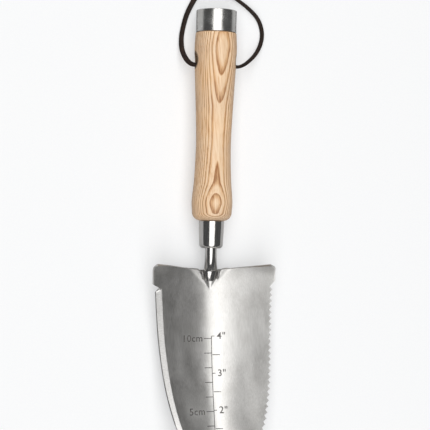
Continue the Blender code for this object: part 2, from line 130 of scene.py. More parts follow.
def arc(centre: tuple[float, float], radius: float, start: float, end: float, steps: int) -> list:
    """Points of an arc.

    Args:
        centre: Radius and station of the arc's centre.
        radius: The arc's radius.
        start: First angle in degrees.
        end: Last angle in degrees.
        steps: Number of chords.

    Returns:
        The arc's points as (radius, station).
    """
    angles = [math.radians(a) for a in spread(start, end, steps)]
    return [(centre[0] + radius * math.cos(a), centre[1] + radius * math.sin(a)) for a in angles]


def turned(profile: Curve, steps: int) -> bmesh.types.BMesh:
    """Turns a closed profile about the Y axis.

    Args:
        profile: Points as (radius, station); stations run along +Y.
        steps: Number of facets round.

    Returns:
        The turned body, closed, its faces outwards.
    """
    bm = bmesh.new()
    verts = [bm.verts.new((radius, station, 0.0)) for radius, station in profile]
    edges = [bm.edges.new(pair) for pair in zip(verts, verts[1:])]
    if profile[0][0] > 0.0:
        edges.append(bm.edges.new((verts[-1], verts[0])))
    bmesh.ops.spin(
        bm,
        geom=verts + edges,
        cent=(0.0, 0.0, 0.0),
        axis=(0.0, 1.0, 0.0),
        angle=math.tau,
        steps=steps,
        use_merge=True,
    )
    bmesh.ops.remove_doubles(bm, verts=bm.verts, dist=1e-6)
    bmesh.ops.recalc_face_normals(bm, faces=bm.faces)
    return bm


def drawn(places: Sequence[Matrix], sides: int, squareness: float = 1.0) -> bmesh.types.BMesh:
    """Carries one ring through places and joins the rings to a closed body.

    Args:
        places: Where each ring stands; each matrix also scales the unit ring to its size.
        sides: Number of points on a ring.
        squareness: 1 leaves the ring oval, less makes it a rounded oblong.

    Returns:
        The closed body, its faces outwards.
    """
    bm = bmesh.new()
    loops = []
    for place in places:
        ring = bmesh.ops.create_circle(bm, cap_ends=False, radius=1.0, segments=sides)["verts"]
        for vert in ring:
            x, y = vert.co.x, vert.co.y
            vert.co.x = math.copysign(abs(x) ** squareness, x)
            vert.co.y = math.copysign(abs(y) ** squareness, y)
        bmesh.ops.transform(bm, matrix=place, verts=ring)
        loops.append(list({edge for vert in ring for edge in vert.link_edges}))
    for before, after in zip(loops, loops[1:]):
        bmesh.ops.bridge_loops(bm, edges=before + after)
    for end in (loops[0], loops[-1]):
        bmesh.ops.contextual_create(bm, geom=end)
    bmesh.ops.recalc_face_normals(bm, faces=bm.faces)
    return bm


def facing(centre: Vector, side: Vector, up: Vector, half_side: float, half_up: float) -> Matrix:
    """The place of a ring.

    Args:
        centre: The ring's middle.
        side: Unit direction of its first half size.
        up: Unit direction of its second half size.
        half_side: Half size along side.
        half_up: Half size along up.

    Returns:
        A matrix that carries the unit ring there.
    """
    columns = (side * half_side, up * half_up, side.cross(up).normalized() * half_up)
    turn = Matrix(columns).transposed().to_4x4()
    return Matrix.Translation(centre) @ turn


def linked(name: str, data: bpy.types.ID) -> bpy.types.Object:
    """Makes an object of its data and puts it in the scene."""
    obj = bpy.data.objects.new(name, data)
    bpy.context.scene.collection.objects.link(obj)
    return obj


def object_from(
    bm: bmesh.types.BMesh, name: str, *finishes: bpy.types.Material, place: Matrix | None = None
) -> bpy.types.Object:
    """Makes a smooth shaded object from a bmesh.

    Args:
        bm: The mesh.
        name: The piece's name.
        finishes: Materials in the order of the faces' indices.
        place: Carries the mesh to the row frame; a mesh without one is there already.

    Returns:
        The object, standing at the origin.
    """
    if place is not None:
        bmesh.ops.transform(bm, matrix=place, verts=bm.verts)
    mesh = bpy.data.meshes.new(name)
    bm.to_mesh(mesh)
    bm.free()
    mesh.shade_smooth()
    mesh.set_sharp_from_angle(angle=math.radians(35.0))
    for finish in finishes:
        mesh.materials.append(finish)
    return linked(name, mesh)


def applied(obj: bpy.types.Object) -> bpy.types.Object:
    """Makes an object's modifiers part of its mesh."""
    graph = bpy.context.evaluated_depsgraph_get()
    mesh = bpy.data.meshes.new_from_object(obj.evaluated_get(graph))
    obj.modifiers.clear()
    obj.data = mesh
    return obj


class NodeSheet:
    """Lays out the shader nodes of one material."""

    def __init__(self, name: str) -> None:
        """Starts a material with its shader and output."""
        self.material = bpy.data.materials.new(name)
        self.material.use_nodes = True
        self.tree = self.material.node_tree
        self.shader = self.tree.nodes["Principled BSDF"]

    def add(self, kind: str, inputs: dict | None = None, **settings: object) -> bpy.types.Node:
        """Adds a node.

        Args:
            kind: The node's type, without its ShaderNode prefix.
            inputs: Values or sockets for its inputs, by name or number.
            settings: Values for its own properties.

        Returns:
            The new node.
        """
        node = self.tree.nodes.new("ShaderNode" + kind)
        for key, value in settings.items():
            setattr(node, key, value)
        for key, value in (inputs or {}).items():
            self.put(node, key, value)
        return node

    def put(self, node: bpy.types.Node, key: str | int, value: object) -> None:
        """Sets an input to a value, or links a socket to it."""
        if isinstance(value, bpy.types.NodeSocket):
            self.tree.links.new(value, node.inputs[key])
        else:
            node.inputs[key].default_value = value

    def math(self, operation: str, *values: object) -> bpy.types.NodeSocket:
        """The result of a math node on values or sockets."""
        node = self.add("Math", dict(enumerate(values)), operation=operation)
        return node.outputs[0]

    def plus(self, base: object, extra: object, share: float) -> bpy.types.NodeSocket:
        """A value with a share of another one added."""
        return self.math("ADD", base, self.math("MULTIPLY", extra, share))

    def surface(
        self, colour: object, roughness: object, metallic: float = 1.0, specular: float = 0.5
    ) -> None:
        """Sets the shader's main inputs.

        Args:
            colour: Base colour, as a value or a socket.
            roughness: Roughness, as a value or a socket.
            metallic: 1 for bare metal, 0 for what isn't metal.
            specular: Strength of the mirrored light where there is no metal.
        """
        self.put(self.shader, "Base Color", colour)
        self.put(self.shader, "Roughness", roughness)
        self.put(self.shader, "Metallic", metallic)
        self.put(self.shader, "Specular IOR Level", specular)

    def round_y(self, here: object) -> tuple[bpy.types.NodeSocket, bpy.types.NodeSocket]:
        """A vector's distance from the Y axis, and its place along it."""
        parts = self.add("SeparateXYZ", {0: here}).outputs
        across = self.math("POWER", parts["X"], 2.0)
        radius = self.math("SQRT", self.math("ADD", across, self.math("POWER", parts["Z"], 2.0)))
        return radius, parts["Y"]

    def place(
        self,
        location: Sequence[float] = (0.0, 0.0, 0.0),
        rotation: tuple = (0.0, 0.0, 0.0),
        scale: tuple = (1.0, 1.0, 1.0),
    ) -> bpy.types.NodeSocket:
        """Object coordinates as seen from a place, then stretched.

        Args:
            location: Origin of the pattern in the row frame.
            rotation: Turn of the pattern, as Euler angles.
            scale: Scale of each axis after that.

        Returns:
            The stretched coordinates.
        """
        coordinates = self.add("TexCoord").outputs["Object"]
        here = self.add(
            "Mapping",
            {"Vector": coordinates, "Location": location, "Rotation": rotation},
            vector_type="TEXTURE",
        )
        there = self.add("Mapping", {"Vector": here.outputs[0], "Scale": scale})
        return there.outputs[0]

    def noise(self, vector: object, scale: float, detail: float, rough: float = 0.5) -> object:
        """A noise texture's value at a vector."""
        node = self.add(
            "TexNoise", {"Vector": vector, "Scale": scale, "Detail": detail, "Roughness": rough}
        )
        return node.outputs["Fac"]

    def spanned(self, value: object, low: float, high: float, start: float, end: float) -> object:
        """A value's range from low to high, carried to start to end and held there."""
        node = self.add("MapRange", {0: value, 1: low, 2: high, 3: start, 4: end})
        return node.outputs[0]

    def ramp(self, value: object, stops: Sequence[tuple[float, tuple]]) -> object:
        """A colour ramp's colour at a value; stops are (place, linear colour)."""
        node = self.add("ValToRGB", {0: value})
        elements = node.color_ramp.elements
        while len(elements) < len(stops):
            elements.new(0.5)
        for element, (place, colour) in zip(elements, stops):
            element.position = place
            element.color = (*colour, 1.0)
        return node.outputs["Color"]

    def bump(self, height: object, distance: float, strength: float = 1.0) -> None:
        """Makes a height the shader's bump; distance is its full depth in metres."""
        node = self.add("Bump", {"Height": height, "Distance": distance, "Strength": strength})
        self.put(self.shader, "Normal", node.outputs[0])


@dataclass(frozen=True)
class Setting:
    """How the blade and the handle stand, in metres along the tool from the blade's tip."""

    blade_length: float = 0.1434
    neck_showing: float = 0.0149
    handle_height: float = 0.0169
    ferrule_length: float = 0.0187
    grip_length: float = 0.1273
    cap_length: float = 0.0150
    cap_radius: float = 0.0137
    cap_edge_round: float = 0.0006
    blade_set: float = math.radians(4.1)
    hole_from_cap: float = 0.0340

    @property
    def mouth(self) -> float:
        """Station of the ferrule's mouth."""
        return self.blade_length + self.neck_showing

    @property
    def handle_length(self) -> float:
        """Length from the ferrule's mouth to the cap's face."""
        return self.ferrule_length + self.grip_length + self.cap_length

    @property
    def tilt(self) -> float:
        """Angle by which the handle drops towards its cap, which rests on the table."""
        reach = math.hypot(self.handle_length, self.cap_radius)
        return math.asin(self.handle_height / reach) - math.atan2(self.cap_radius, self.handle_length)

    @property
    def origin(self) -> Vector:
        """Where station zero lies in the row frame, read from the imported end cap."""
        low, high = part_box("end_cap")
        length, tilt = self.handle_length, self.tilt
        far = self.mouth + length * math.cos(tilt)
        far += (self.cap_radius - self.cap_edge_round) * math.sin(tilt)
        top = self.handle_height - (length - self.cap_length) * math.sin(tilt)
        top += self.cap_radius * math.cos(tilt)
        return Vector(((low.x + high.x) / 2, high.y - far, high.z - top))

    @property
    def blade_place(self) -> Matrix:
        """Carries the blade from its own stations to the row frame."""
        pivot = Vector((0.0, self.mouth, 0.0))
        turn = Matrix.Rotation(self.blade_set, 4, "Z")
        back = Matrix.Translation(-pivot)
        return Matrix.Translation(self.origin + pivot) @ turn @ back

    @property
    def handle_origin(self) -> Vector:
        """The middle of the ferrule's mouth in the row frame."""
        return self.origin + Vector((0.0, self.mouth, self.handle_height))

    @property
    def handle_place(self) -> Matrix:
        """Carries the handle, which lies along +Y from its mouth, to the row frame."""
        return Matrix.Translation(self.handle_origin) @ Matrix.Rotation(-self.tilt, 4, "X")

    def axis(self, distance: float) -> Vector:
        """A point on the handle's axis, that far from the mouth, before the move to the frame."""
        y = self.mouth + distance * math.cos(self.tilt)
        return Vector((0.0, y, self.handle_height - distance * math.sin(self.tilt)))

    @property
    def hole(self) -> Vector:
        """The middle of the lace's hole in the row frame."""
        return self.origin + self.axis(self.handle_length - self.hole_from_cap)


# --------------------------------------------------------------------------- finishes


@dataclass(frozen=True)
class SatinSteel:
    """Stainless sheet with a satin grain along its length."""

    setting: Setting
    name: str = "satin_steel"
    dark: tuple = (0.50, 0.487, 0.465)
    light: tuple = (0.74, 0.73, 0.71)
    roughness: tuple = (0.36, 0.47)
    grain_depth: float = 0.0000045
    wave_scale: float = 34.0
    wave_depth: float = 0.0011

    def make(self) -> bpy.types.Material:
        """Builds the finish."""
        sheet = NodeSheet(self.name)
        turn = (0.0, 0.0, self.setting.blade_set)
        origin = self.setting.origin
        streaks = sheet.place(origin, turn, (1.0, 0.035, 1.0))
        fine = sheet.noise(streaks, 2400.0, 3.0, 0.6)
        clouds = sheet.noise(sheet.place(origin, turn, (1.0, 0.5, 1.0)), 70.0, 6.0, 0.62)
        waves = sheet.noise(sheet.place(origin, turn, (1.0, 0.45, 0.0)), self.wave_scale, 1.0)
        mixed = sheet.plus(sheet.math("MULTIPLY", fine, 0.40), clouds, 0.60)
        colour = sheet.ramp(mixed, ((0.35, self.dark), (0.65, self.light)))
        sheet.surface(colour, sheet.spanned(mixed, 0.35, 0.65, *self.roughness))
        grain = sheet.math("MULTIPLY", fine, self.grain_depth / self.wave_depth)
        sheet.bump(sheet.math("ADD", waves, grain), self.wave_depth)
        return sheet.material


@dataclass(frozen=True)
class GroundSteel:
    """The ground strip along the cutting edge: bright, scored across the edge."""

    setting: Setting
    name: str = "ground_steel"
    dark: tuple = (0.62, 0.61, 0.59)
    light: tuple = (0.80, 0.79, 0.77)
    roughness: tuple = (0.38, 0.52)
    score_depth: float = 0.000006

    def make(self) -> bpy.types.Material:
        """Builds the finish."""
        sheet = NodeSheet(self.name)
        turn = (0.0, 0.0, self.setting.blade_set)
        scores = sheet.noise(sheet.place(self.setting.origin, turn, (0.12, 1.0, 0.2)), 3800.0, 2.0)
        colour = sheet.ramp(scores, ((0.3, self.dark), (0.7, self.light)))
        sheet.surface(colour, sheet.spanned(scores, 0.3, 0.7, *self.roughness))
        sheet.bump(scores, self.score_depth)
        return sheet.material


@dataclass(frozen=True)
class PolishedSteel:
    """Steel polished by hand: near mirror, with faint long marks and soft ripples."""

    setting: Setting
    name: str = "polished_steel"
    colour: tuple = (0.60, 0.585, 0.57)
    tint: tuple = (0.50, 0.48, 0.46)
    roughness: tuple = (0.10, 0.18)
    ripple_depth: float = 0.00003

    def make(self) -> bpy.types.Material:
        """Builds the finish."""
        sheet = NodeSheet(self.name)
        origin = self.setting.handle_origin
        marks = sheet.noise(sheet.place(origin, scale=(1.0, 0.08, 1.0)), 1500.0, 3.0)
        ripple = sheet.noise(sheet.place(origin, scale=(1.0, 0.6, 1.0)), 120.0, 2.0)
        colour = sheet.ramp(marks, ((0.3, self.tint), (0.6, self.colour)))
        sheet.surface(colour, sheet.spanned(marks, 0.3, 0.7, *self.roughness))
        sheet.bump(sheet.plus(ripple, marks, 0.06), self.ripple_depth)
        return sheet.material


@dataclass(frozen=True)
class TurnedSteel:
    """Steel finished on a lathe: fine rings round the cap's axis."""

    setting: Setting
    name: str = "turned_steel"
    dark: tuple = (0.54, 0.53, 0.51)
    light: tuple = (0.68, 0.67, 0.65)
    roughness: tuple = (0.22, 0.28)
    ring_depth: float = 0.0000022

    def make(self) -> bpy.types.Material:
        """Builds the finish."""
        sheet = NodeSheet(self.name)
        turn = (-self.setting.tilt, 0.0, 0.0)
        here = sheet.place(self.setting.handle_origin, turn)
        radius, along = sheet.round_y(here)
        rings = sheet.add("CombineXYZ", {"X": radius, "Y": along}).outputs[0]
        cuts = sheet.noise(rings, 3600.0, 2.0)
        smears = sheet.noise(here, 160.0, 3.0)
        colour = sheet.ramp(smears, ((0.35, self.dark), (0.65, self.light)))
        sheet.surface(colour, sheet.spanned(smears, 0.35, 0.65, *self.roughness))
        sheet.bump(cuts, self.ring_depth)
        return sheet.material


@dataclass(frozen=True)
class WeldSteel:
    """Weld metal: dull, rippled and heat tinted."""

    name: str = "weld_steel"
    stops: tuple = (
        (0.30, (0.17, 0.16, 0.15)),
        (0.52, (0.34, 0.33, 0.32)),
        (0.75, (0.46, 0.455, 0.45)),
    )
    roughness: tuple = (0.32, 0.5)
    ripple_depth: float = 0.00004

    def make(self) -> bpy.types.Material:
        """Builds the finish."""
        sheet = NodeSheet(self.name)
        here = sheet.place()
        tint = sheet.noise(here, 700.0, 4.0)
        sheet.surface(sheet.ramp(tint, self.stops), sheet.spanned(tint, 0.3, 0.7, *self.roughness))
        sheet.bump(sheet.noise(here, 1800.0, 3.0), self.ripple_depth)
        return sheet.material


@dataclass(frozen=True)
class EtchedMark:
    """Marks etched in the steel: matt grey oxide with worn patches."""

    name: str = "etched_mark"
    dark: tuple = (0.085, 0.080, 0.077)
    worn: tuple = (0.22, 0.21, 0.20)
    roughness: tuple = (0.80, 0.66)
    metallic: float = 0.2
    pit_depth: float = 0.000008

    def make(self) -> bpy.types.Material:
        """Builds the finish."""
        sheet = NodeSheet(self.name)
        here = sheet.place()
        wear = sheet.noise(here, 900.0, 4.0)
        colour = sheet.ramp(wear, ((0.38, self.dark), (0.66, self.worn)))
        sheet.surface(colour, sheet.spanned(wear, 0.3, 0.7, *self.roughness), self.metallic)
        sheet.bump(sheet.noise(here, 6000.0, 2.0), self.pit_depth)
        return sheet.material


@dataclass(frozen=True)
class AshWood:
    """Flat sawn ash under a thin oil: yearly rings cut into arches, with open pores along them."""

    setting: Setting
    name: str = "oiled_ash"
    ring_spacing: float = 0.00095
    pith: Vector = field(default_factory=lambda: Vector((0.0020, 0.0, -0.05716)))
    pith_turn: tuple = (math.radians(0.77), 0.0, math.radians(5.5))
    bow_place: float = 0.069
    bow_reach: float = 0.026
    bow: float = 0.0006
    sway: float = 0.0006
    # Reach and strength of the painted shade inside the lace hole: the wood is darkened there to stand
    # in for shade in the recess.
    hole_shade_reach: tuple = (0.0056, 0.0068)
    hole_shade_tone: float = 0.30
    pore_depth: float = 0.00005
    roughness: tuple = (0.42, 0.60)
    specular: float = 0.35
    early: tuple = (0.400, 0.175, 0.068)
    middle: tuple = (0.790, 0.485, 0.255)
    late: tuple = (0.990, 0.745, 0.510)

    def make(self) -> bpy.types.Material:
        """Builds the finish."""
        sheet = NodeSheet(self.name)
        turn = (-self.setting.tilt + self.pith_turn[0], 0.0, self.pith_turn[2])
        centre = self.setting.handle_origin + self.pith
        here = sheet.place(centre, turn)
        slow = sheet.noise(sheet.place(centre, turn, (1.0, 0.16, 1.0)), 75.0, 2.0)
        radius, along = sheet.round_y(here)
        swayed = sheet.plus(radius, slow, self.sway)
        off = sheet.math("DIVIDE", sheet.math("SUBTRACT", along, self.bow_place), self.bow_reach)
        bowed = sheet.math("MAXIMUM", 0.0, sheet.math("SUBTRACT", 1.0, sheet.math("POWER", off, 2.0)))
        years = sheet.math("DIVIDE", sheet.plus(swayed, bowed, self.bow), self.ring_spacing)
        year = sheet.math("FRACT", years)
        early = sheet.spanned(year, 0.0, 0.55, 1.0, 0.0)
        edge = sheet.spanned(year, 0.93, 1.0, 0.0, 1.0)
        ring = sheet.math("MAXIMUM", sheet.math("POWER", early, 1.6), edge)
        pores = sheet.noise(sheet.place(centre, turn, (1.0, 0.030, 1.0)), 2600.0, 2.0, 0.6)
        pitted = sheet.spanned(pores, 0.50, 0.66, 0.0, 1.0)
        fibres = sheet.noise(sheet.place(centre, turn, (1.0, 0.045, 1.0)), 900.0, 4.0, 0.6)
        worn = sheet.math("MULTIPLY", ring, sheet.spanned(fibres, 0.3, 0.7, 0.55, 1.0))
        openness = sheet.math("ADD", sheet.math("MULTIPLY", ring, 0.5), 0.22)
        porous = sheet.math("MULTIPLY", pitted, openness)
        streaked = sheet.spanned(fibres, 0.25, 0.75, 0.0, 1.0)
        shade = sheet.math("ADD", sheet.plus(worn, streaked, 0.26), porous)
        stops = ((0.08, self.late), (0.42, self.middle), (1.0, self.early))
        patches = sheet.noise(here, 28.0, 2.0)
        # Painted shade: the colour darkens towards the lace hole's axis, inside the bore and its flared
        # mouths, in place of the shade that falls in the hole.
        across_hole = sheet.place(self.setting.hole, (-self.setting.tilt, 0.0, 0.0), (0.0, 1.0, 1.0))
        from_hole = sheet.add("VectorMath", {0: across_hole}, operation="LENGTH").outputs["Value"]
        hole_shade = sheet.spanned(from_hole, *self.hole_shade_reach, self.hole_shade_tone, 1.0)
        worn_value = sheet.spanned(patches, 0.3, 0.7, 0.95, 1.04)
        colour = sheet.add(
            "HueSaturation",
            {
                "Color": sheet.ramp(shade, stops),
                "Saturation": sheet.spanned(patches, 0.3, 0.7, 0.94, 1.06),
                "Value": sheet.math("MULTIPLY", worn_value, hole_shade),
            },
        )
        roughness = sheet.spanned(shade, 0.0, 1.0, *self.roughness)
        sheet.surface(colour.outputs[0], roughness, 0.0, self.specular)
        pits = sheet.math("SUBTRACT", 1.0, sheet.math("MULTIPLY", pitted, ring))
        sheet.bump(sheet.plus(pits, fibres, 0.3), self.pore_depth)
        return sheet.material


@dataclass(frozen=True)
class DarkLeather:
    """Dark brown leather thong with a pebbled grain, lighter and darker in loose patches."""

    name: str = "dark_leather"
    stops: tuple = (
        (0.25, (0.010, 0.0058, 0.0042)),
        (0.55, (0.026, 0.0145, 0.0100)),
        (0.85, (0.058, 0.034, 0.023)),
    )
    roughness: tuple = (0.50, 0.70)
    specular: float = 0.25
    pebble_depth: float = 0.00012

    def make(self) -> bpy.types.Material:
        """Builds the finish."""
        sheet = NodeSheet(self.name)
        here = sheet.place()
        cells = sheet.add("TexVoronoi", {"Vector": here, "Scale": 1900.0}).outputs["Distance"]
        patches = sheet.noise(here, 260.0, 4.0)
        fibres = sheet.noise(here, 2600.0, 3.0)
        tone = sheet.plus(sheet.math("MULTIPLY", patches, 0.8), fibres, 0.2)
        roughness = sheet.spanned(patches, 0.3, 0.7, *self.roughness)
        sheet.surface(sheet.ramp(tone, self.stops), roughness, 0.0, self.specular)
        sheet.bump(sheet.plus(cells, fibres, 0.5), self.pebble_depth)
        return sheet.material


@dataclass(frozen=True)
class AmberResin:
    """Cured casting resin: amber and glossy, with fine bubbles."""

    name: str = "amber_resin"
    stops: tuple = ((0.3, (0.36, 0.22, 0.07)), (0.7, (0.56, 0.40, 0.17)))
    roughness: tuple = (0.45, 0.22)
    bubble_depth: float = 0.00003

    def make(self) -> bpy.types.Material:
        """Builds the finish."""
        sheet = NodeSheet(self.name)
        here = sheet.place()
        bubbles = sheet.add("TexVoronoi", {"Vector": here, "Scale": 900.0}).outputs["Distance"]
        clouds = sheet.noise(here, 180.0, 3.0)
        roughness = sheet.spanned(bubbles, 0.0, 0.5, *self.roughness)
        sheet.surface(sheet.ramp(clouds, self.stops), roughness, 0.0)
        sheet.bump(bubbles, self.bubble_depth)
        return sheet.material


# --------------------------------------------------------------------------- blade


@dataclass
class Blade:
    """The dished blade with its teeth, twine notch, ground strip, pressed seat and etched scale."""

    setting: Setting
    tip_half_width: float = 0.0026
    outline: Curve = (
        (0.005, 0.0102),
        (0.015, 0.0183),
        (0.0375, 0.0284),
        (0.062, 0.0341),
        (0.092, 0.0371),
    )
    body_half_width: float = 0.0388
    toothed_side_wider: float = 0.0018
    left_sweep: float = 0.0048
    right_sweep: float = 0.0010
    shoulder_zone: float = 0.016
    tab_width: float = 0.0016
    tab_step: float = 0.0018
    corner_round: float = 0.0030
    sheet: float = 0.0016
    wall_slope: float = 0.45
    fold_at_tip: float = 0.007
    fold_at_top: float = 0.016
    side_profile: Curve = (
        (0.0, 0.0250),
        (0.030, 0.0150),
        (0.060, 0.0058),
        (0.080, 0.0016),
        (0.095, 0.0),
        (0.112, 0.0011),
        (0.130, 0.0047),
        (0.1434, 0.0084),
    )
    heel_lift: float = 0.0018
    heel_zone: float = 0.009
    tooth_pitch: float = 0.0039
    tooth_depth: float = 0.0016
    tooth_count: int = 27
    tooth_roundness: float = 0.85
    notch_station: float = 0.1320
    notch_depth: float = 0.0030
    notch_half_width: float = 0.0020
    ground_width: float = 0.0042
    ground_depth: float = 0.0011
    seat_length: float = 0.0135
    seat_half_width: float = 0.0130
    groove_half_width: float = 0.0078
    groove_depth: float = 0.0031
    edge_round: float = 0.0002
    scale_offset: float = -0.0007
    scale_lean: float = math.radians(2.4)
    mark_stroke: float = 0.00050
    mark_lift: float = 0.00003
    numeral_height: float = 0.0047
    scale_pivot: float = 0.070
    centimetre_tick: float = 0.0053
    inch_tick: float = 0.0022
    half_inch_tick: tuple[float, float] = (0.0005, 0.0055)
    numeral_gaps: tuple[float, float] = (0.0008, 0.0036)
    tip_rows: int = 26
    rows_per_tooth: int = 8
    notch_rows: int = 18
    corner_rows: int = 12

    @property
    def length(self) -> float:
        """Length from the tip to the top edge."""
        return self.setting.blade_length

    @property
    def inner_share(self) -> float:
        """Share of the half width at which the ground strip and the teeth begin."""
        return 1.0 - self.ground_width / self.body_half_width

    @property
    def teeth_start(self) -> float:
        """Station of the tooth nearest to the tip."""
        return self.notch_station - self.tooth_count * self.tooth_pitch

    def half_width(self, station: float) -> float:
        """Half width of the blade at a station, without tabs and teeth."""
        points = ((0.0, self.tip_half_width), *self.outline)
        points += ((self.notch_station, self.body_half_width),)
        return through(points, min(station, self.notch_station))

    def seat_share(self, station: float) -> float:
        """How far into the pressed seat a station lies: 0 at its point, 1 at the top edge."""
        return max(0.0, (station - (self.length - self.seat_length)) / self.seat_length)

    def groove_drop(self, x: float, station: float) -> float:
        """How deep the groove for the foot lies under the seat's flat."""
        share = self.seat_share(station)
        if share == 0.0:
            return 0.0
        across = abs(x) / (self.groove_half_width * share)
        return self.groove_depth * share * max(0.0, 1.0 - across * across)

    def hollow_height(self, x: float, station: float) -> float:
        """Height of the hollow face above the table.

        Args:
            x: Distance from the blade's middle line.
            station: Distance from the tip.

        Returns:
            The height in metres.
        """
        along = min(station, self.length)
        fold = self.fold_at_tip + (self.fold_at_top - self.fold_at_tip) * along / self.length
        out = max(abs(x), self.seat_half_width * self.seat_share(station))
        section = self.wall_slope * (math.hypot(out, fold) - fold)
        (before, low), (last, high) = self.side_profile[-2:]
        floor = through(self.side_profile, along) + (high - low) / (last - before) * (station - along)
        return self.sheet + floor + section - self.groove_drop(x, station)

    def rows(self) -> list[float]:
        """Stations of the rows: close at the tip, eight to a tooth, and following the corners' arcs."""
        start = self.teeth_start
        corner = self.length - self.corner_round
        rows = [start * (i / self.tip_rows) ** 1.5 for i in range(self.tip_rows)]
        rows += spread(start, self.notch_station, self.rows_per_tooth * self.tooth_count)
        rows += spread(self.notch_station, corner, self.notch_rows)[1:]
        turns = [math.pi / 2 * i / self.corner_rows for i in range(1, self.corner_rows + 1)]
        return rows + [corner + self.corner_round * math.sin(turn) for turn in turns]

    def columns(self) -> list[float]:
        """Shares of the half width: close over the seat and along both edges."""
        inner = self.inner_share
        half = spread(0.0, 0.22, 14) + spread(0.22, inner - 0.008, 16)[1:]
        half += [inner] + spread(inner, 1.0, 9)[1:]
        return [-share for share in reversed(half[1:])] + half

    def surface_point(self, share: float, station: float) -> Vector:
        """A point of the hollow face.

        Args:
            share: Place across, from -1 at the ground edge to 1 at the toothed edge.
            station: Distance from the tip.

        Returns:
            The point on the blade's own stations.
        """
        corner = self.length - self.corner_round
        past_notch = ease((station - self.notch_station) / self.tab_step)
        width = self.half_width(station) + self.tab_width * past_notch
        if station > corner:
            gone = min(1.0, (station - corner) / self.corner_round)
            width -= self.corner_round * (1.0 - math.sqrt(1.0 - gone * gone))
        x = share * width + max(0.0, share) * self.toothed_side_wider
        inner = self.inner_share
        near_edge = max(0.0, (abs(share) - inner) / (1.0 - inner)) ** 2
        if share > inner and station < self.notch_station:
            x -= self.tooth_gap(station) * near_edge
        if share < -inner:
            away = abs(station - self.notch_station) / self.notch_half_width
            x += self.notch_depth * max(0.0, 1.0 - away) * near_edge
        near_top = ease((station - self.length + self.shoulder_zone) / self.shoulder_zone)
        most = self.left_sweep if share < 0.0 else self.right_sweep
        sweep = most * near_top * 0.5 * (1.0 - math.cos(math.pi * share))
        height = self.hollow_height(x, station + sweep)
        heel = ease((station - self.length + self.heel_zone) / self.heel_zone)
        return Vector((x, station + sweep, height + self.heel_lift * share**2 * heel**2))

    def tooth_gap(self, station: float) -> float:
        """How far the toothed edge stands back from the tips of its teeth."""
        start = self.teeth_start
        if station <= start:
            return self.tooth_depth * 0.5 * ease(station / start)
        phase = (station - start) / self.tooth_pitch % 1.0
        return self.tooth_depth * (1.0 - abs(2.0 * phase - 1.0)) ** self.tooth_roundness

    def build_sheet(self, satin: bpy.types.Material, ground: bpy.types.Material) -> bpy.types.Object:
        """Builds the blade's sheet.

        Args:
            satin: Finish of the whole sheet.
            ground: Finish of the ground strip.

        Returns:
            The blade.
        """
        rows, columns = self.rows(), self.columns()
        inner = self.inner_share
        bm = bmesh.new()
        bmesh.ops.create_grid(bm, x_segments=len(columns) - 1, y_segments=len(rows) - 1, size=0.5)
        for i, vert in enumerate(list(bm.verts)):
            row, column = divmod(i, len(columns))
            vert.co = self.surface_point(columns[column], rows[row])
        bmesh.ops.recalc_face_normals(bm, faces=bm.faces)
        bm.normal_update()
        if bm.verts[:][len(bm.verts) // 2].normal.z < 0.0:
            bmesh.ops.reverse_faces(bm, faces=bm.faces)
            bm.normal_update()
        hollow = list(bm.verts)
        normals = [vert.normal.copy() for vert in hollow]
        made = bmesh.ops.extrude_face_region(bm, geom=bm.faces[:])["geom"]
        under = [part for part in made if isinstance(part, bmesh.types.BMVert)]
        for vert, normal in zip(under, normals):
            vert.co -= normal * self.sheet
        strip = set()
        for i, vert in enumerate(hollow):
            row, column = divmod(i, len(columns))
            depth = (-columns[column] - inner) / (1.0 - inner)
            if depth >= 0.0 and rows[row] < self.notch_station:
                vert.co.z -= self.ground_depth * depth
                strip.add(vert)
        bmesh.ops.recalc_face_normals(bm, faces=bm.faces)
        for face in bm.faces:
            if all(vert in strip for vert in face.verts):
                face.material_index = 1
        rim = [edge for edge in bm.edges if len(edge.link_faces) == 2]
        rim = [edge for edge in rim if edge.calc_face_angle() > math.radians(60.0)]
        bmesh.ops.bevel(
            bm,
            geom=rim,
            offset=self.edge_round,
            offset_type="OFFSET",
            segments=2,
            profile=0.5,
            affect="EDGES",
            clamp_overlap=True,
            material=-1,
        )
        return object_from(bm, "blade_sheet", satin, ground, place=self.setting.blade_place)

    def stroke(self, bm: bmesh.types.BMesh, start: tuple, end: tuple) -> None:
        """Adds one flat straight mark, cut up so that it can follow the hollow face."""
        first, last = Vector((*start, 0.0)), Vector((*end, 0.0))
        along = last - first
        pieces = max(1, round(along.length / 0.0012))
        side = Vector((-along.y, along.x, 0.0)).normalized() * self.mark_stroke / 2
        edge = [bm.verts.new(first - side), bm.verts.new(first + side)]
        edges = [bm.edges.new(edge)]
        for _ in range(pieces):
            made = bmesh.ops.extrude_edge_only(bm, edges=edges)["geom"]
            verts = [part for part in made if isinstance(part, bmesh.types.BMVert)]
            edges = [part for part in made if isinstance(part, bmesh.types.BMEdge)]
            bmesh.ops.translate(bm, vec=along / pieces, verts=verts)

    def numeral(self, bm: bmesh.types.BMesh, text: str, place: tuple, align: str) -> None:
        """Adds a flat text to the marks.

        Args:
            bm: The marks so far.
            text: What it says.
            place: The text's anchor, as x and station.
            align: LEFT or RIGHT of the anchor.
        """
        curve = bpy.data.curves.new("numeral", "FONT")
        curve.body = text
        curve.size = self.numeral_height * 1.38
        curve.space_character = 1.08
        curve.align_x = align
        curve.align_y = "CENTER"
        curve.offset = 0.00007
        curve.resolution_u = 3
        holder = linked("numeral", curve)
        bpy.context.view_layer.update()
        graph = bpy.context.evaluated_depsgraph_get()
        mesh = bpy.data.meshes.new_from_object(holder.evaluated_get(graph))
        mesh.transform(Matrix.Translation((*place, 0.0)))
        bm.from_mesh(mesh)
        bpy.data.objects.remove(holder)
        bpy.data.curves.remove(curve)
        bpy.data.meshes.remove(mesh)

